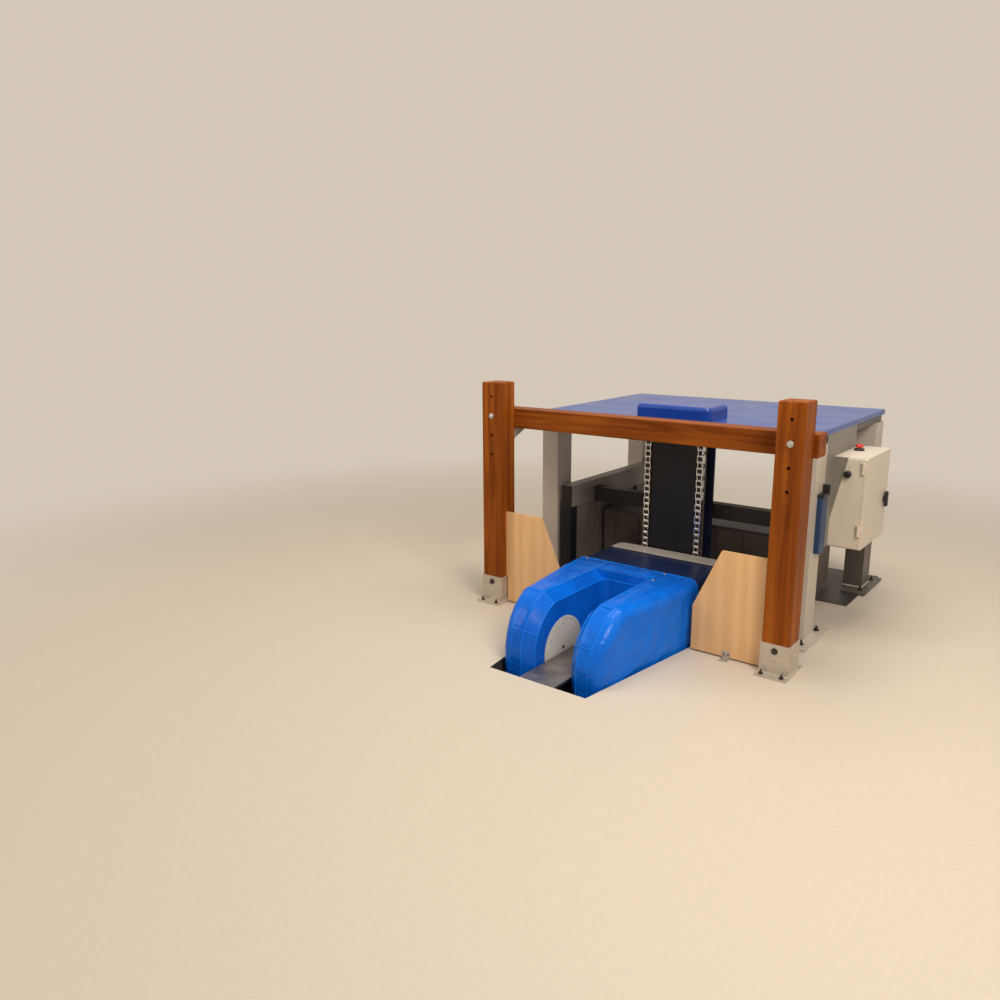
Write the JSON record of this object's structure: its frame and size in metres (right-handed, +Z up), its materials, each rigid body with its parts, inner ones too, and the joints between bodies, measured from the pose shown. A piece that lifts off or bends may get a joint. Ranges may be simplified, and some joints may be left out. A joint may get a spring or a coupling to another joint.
{
  "type": "standing open mri scanner",
  "caption": "Low open MRI scanner for horses' legs: covered U-shaped magnet on a lifting mast, steel gantry, timber post front and control cabinet",
  "frame": {"origin": "on the floor, midway between the two front posts, at the centre of their outer anchor pattern", "axes": "x across the front to the right, y from the timber front towards the gantry, z up"},
  "size_m": [1.781, 2.373, 1.548],
  "materials": {
    "stained_timber": "stained planed softwood",
    "plywood": "varnished plywood",
    "pale_paint": "pale grey-beige paint",
    "dark_paint": "dark grey paint",
    "black_paint": "black satin paint",
    "blue_paint": "dark blue paint",
    "blue_moulding": "glossy blue laminate",
    "blue_vinyl": "glossy blue cover",
    "pale_plastic": "pale moulded plastic",
    "black_plastic": "black moulded plastic",
    "red_plastic": "red moulded plastic",
    "board_sheet": "bare sheet with fitted devices",
    "bare_steel": "bare machined steel",
    "zinc": "zinc-plated fasteners",
    "iron": "machined iron",
    "chain_steel": "bright plated chain",
    "pad_rubber": "black rubber",
    "housing_sheet": "dark brown-grey sheet",
    "blue_plastic": "dark blue moulded duct",
    "navy_paint": "dark navy satin sheet"
  },
  "bodies": {
    "gantry": {"beam_bolts": "zinc", "button_collar": "black_plastic", "cabinet_case": "pale_paint", "cable_duct": "blue_plastic", "cable_gland": "black_plastic", "chain_anchors": "blue_paint", "component_board": "board_sheet", "cross_beam": "stained_timber", "drive_housing": "housing_sheet", "duct_clip": "black_plastic", "front_legs": "pale_paint", "guard_brackets": "zinc", "hoof_plate": "bare_steel", "left_guard": "plywood", "left_mast_channel": "blue_paint", "left_post": "stained_timber", "lifting_chains": "chain_steel", "mast_cap": "blue_moulding", "mast_cross_beams": "dark_paint", "mast_foot": "dark_paint", "mast_head": "blue_paint", "mast_panel": "black_paint", "mount_plate": "pale_paint", "pit_frame": "dark_paint", "post_shoes": "pale_paint", "rail_packers": "dark_paint", "rail_posts": "black_paint", "rail_skirts": "housing_sheet", "rear_floor_plate": "dark_paint", "rear_legs": "pale_paint", "rest_pads": "pad_rubber", "right_guard": "plywood", "right_mast_channel": "blue_paint", "right_post": "stained_timber", "shoe_bolts": "zinc", "side_rails": "dark_paint", "table_brackets": "pale_paint", "table_frame": "dark_paint", "table_top": "blue_moulding"},
    "magnet": {"magnet_cover": "blue_vinyl", "rear_cover": "navy_paint", "back_yoke": "iron", "yoke_plates": "iron", "magnet_blocks": "iron", "pole_discs": "pale_plastic", "cover_studs": "zinc", "carriage_plate": "blue_paint", "carriage_hood": "pale_paint", "carriage_arms": "blue_paint", "wheel_pins": "zinc", "lift_gearmotor": "iron"},
    "chain_wheels": {"sprocket_shaft": "bare_steel"},
    "left_upper_wheel": {"left_upper_wheel": "bare_steel"},
    "right_upper_wheel": {"right_upper_wheel": "bare_steel"},
    "left_lower_wheel": {"left_lower_wheel": "bare_steel"},
    "right_lower_wheel": {"right_lower_wheel": "bare_steel"},
    "door": {"cabinet_door": "pale_paint"},
    "handle": {"door_handle": "black_plastic"},
    "stop_button": {"stop_button": "red_plastic"},
    "selector": {"selector_knob": "black_plastic"}
  },
  "joints": [
    {"name": "magnet_lift", "type": "slide", "parent": "gantry", "child": "magnet", "axis": [0, 0, 1], "range_m": [0, 0.45]},
    {"name": "chain_wheel_spin", "type": "hinge", "parent": "magnet", "child": "chain_wheels", "pos_m": [0, 0.43952, 0.2], "axis": [1, 0, 0], "range_deg": [-570, 0]},
    {"name": "left_upper_wheel_roll", "type": "hinge", "parent": "magnet", "child": "left_upper_wheel", "pos_m": [-0.133, 0.56, 0.13], "axis": [1, 0, 0], "range_deg": [0, 545]},
    {"name": "right_upper_wheel_roll", "type": "hinge", "parent": "magnet", "child": "right_upper_wheel", "pos_m": [0.133, 0.56, 0.13], "axis": [1, 0, 0], "range_deg": [0, 545]},
    {"name": "left_lower_wheel_roll", "type": "hinge", "parent": "magnet", "child": "left_lower_wheel", "pos_m": [-0.133, 0.56, -0.15], "axis": [1, 0, 0], "range_deg": [-545, 0]},
    {"name": "right_lower_wheel_roll", "type": "hinge", "parent": "magnet", "child": "right_lower_wheel", "pos_m": [0.133, 0.56, -0.15], "axis": [1, 0, 0], "range_deg": [-545, 0]},
    {"name": "door_swing", "type": "hinge", "parent": "gantry", "child": "door", "pos_m": [0.89125, 0.6227, 0.64], "axis": [0, 0, -1], "range_deg": [0, 110]},
    {"name": "handle_turn", "type": "hinge", "parent": "door", "child": "handle", "pos_m": [0.905, 0.984, 0.613], "axis": [1, 0, 0], "range_deg": [0, 90]},
    {"name": "stop_button_press", "type": "slide", "parent": "gantry", "child": "stop_button", "axis": [0, 0, -1], "range_m": [0, 0.006], "stiffness_N_per_m": 800, "springref_m": -0.002},
    {"name": "selector_turn", "type": "hinge", "parent": "gantry", "child": "selector", "pos_m": [0.822, 0.62, 0.783], "axis": [0, 1, 0], "range_deg": [-45, 45]}
  ],
  "couplings": [
    {"joint": "chain_wheel_spin", "follows": "magnet_lift", "rad_per_m": -21.988},
    {"joint": "left_upper_wheel_roll", "follows": "magnet_lift", "rad_per_m": 20.964},
    {"joint": "right_upper_wheel_roll", "follows": "magnet_lift", "rad_per_m": 20.964},
    {"joint": "left_lower_wheel_roll", "follows": "magnet_lift", "rad_per_m": -20.964},
    {"joint": "right_lower_wheel_roll", "follows": "magnet_lift", "rad_per_m": -20.964}
  ]
}
